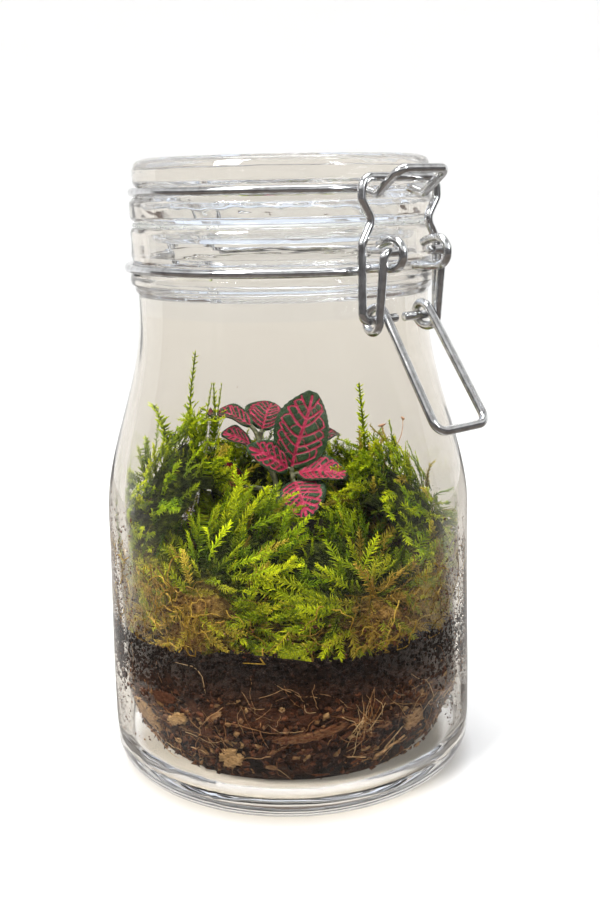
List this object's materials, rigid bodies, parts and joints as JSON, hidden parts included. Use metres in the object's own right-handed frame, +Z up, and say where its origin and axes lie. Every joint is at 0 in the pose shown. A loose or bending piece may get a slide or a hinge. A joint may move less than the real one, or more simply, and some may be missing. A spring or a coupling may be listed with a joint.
{
  "type": "glass plant terrarium",
  "caption": "Clear clip-top glass jar with a wire clasp and hinged lid, holding a closed garden of feathery moss and a pink-veined fittonia on dark soil and bark litter.",
  "frame": {"origin": "on the jar's axis, in the plane of its base", "axes": "+Z up along the jar's axis; -Y towards the clasp at the front; +X to the right of someone facing the clasp"},
  "size_m": [0.1118, 0.1282, 0.1847],
  "materials": {
    "glass": "clear pressed glass, faint green tint, slightly wavy",
    "silicone": "clear silicone sealing ring",
    "wire": "bright drawn steel wire",
    "peat": "moist black-brown peat crumbs",
    "bark": "reddish bark, roots and leaf litter",
    "moss": "feathery yellow-green moss fronds",
    "leaf": "matte dark green leaf with crimson-pink net veins",
    "stem": "thin tan and green stems"
  },
  "bodies": {
    "jar": {"bark_back": "bark", "bark_chunk_left": "bark", "bark_red_left": "bark", "bark_red_small": "bark", "bark_strip": "bark", "bark_tan_front": "bark", "bark_tan_right": "bark", "jar_body": "glass", "leaf_back": "leaf", "leaf_back_left": "leaf", "leaf_back_right": "leaf", "leaf_far_left": "leaf", "leaf_left": "leaf", "leaf_litter": "bark", "leaf_lower": "leaf", "leaf_right": "leaf", "leaf_small": "leaf", "leaf_upright": "leaf", "litter_layer": "bark", "moss_back_left": "moss", "moss_back_right": "moss", "moss_front_left": "moss", "moss_front_right": "moss", "moss_left": "moss", "moss_right": "moss", "moss_shoot_front": "moss", "moss_shoot_left": "moss", "moss_shoot_right": "moss", "moss_shoot_tall_left": "moss", "neck_ring": "wire", "root_bundle": "bark", "soil": "peat", "sporophyte_short": "stem", "sporophyte_tall": "stem", "stem_back_left": "stem", "stem_back_right": "stem", "stem_front": "stem", "twig": "bark"},
    "lid_assembly": {"lid": "glass", "gasket": "silicone", "lid_ring": "wire"},
    "lever": {"clasp_lever": "wire"},
    "link": {"clasp_link": "wire"}
  },
  "joints": [
    {"name": "lid_hinge", "type": "hinge", "parent": "jar", "child": "lid_assembly", "pos_m": [0, 0.051, 0.161], "axis": [-1, 0, 0], "range_deg": [0, 200]},
    {"name": "lever_pivot", "type": "hinge", "parent": "jar", "child": "lever", "pos_m": [0, -0.0535, 0.159], "axis": [-1, 0, 0], "range_deg": [0, 90]},
    {"name": "link_pivot", "type": "hinge", "parent": "lever", "child": "link", "pos_m": [0, -0.0484, 0.1412], "axis": [-1, 0, 0], "range_deg": [-45, 0]}
  ],
  "couplings": [
    {"joint": "link_pivot", "follows": "lever_pivot", "ratio": -0.5}
  ]
}
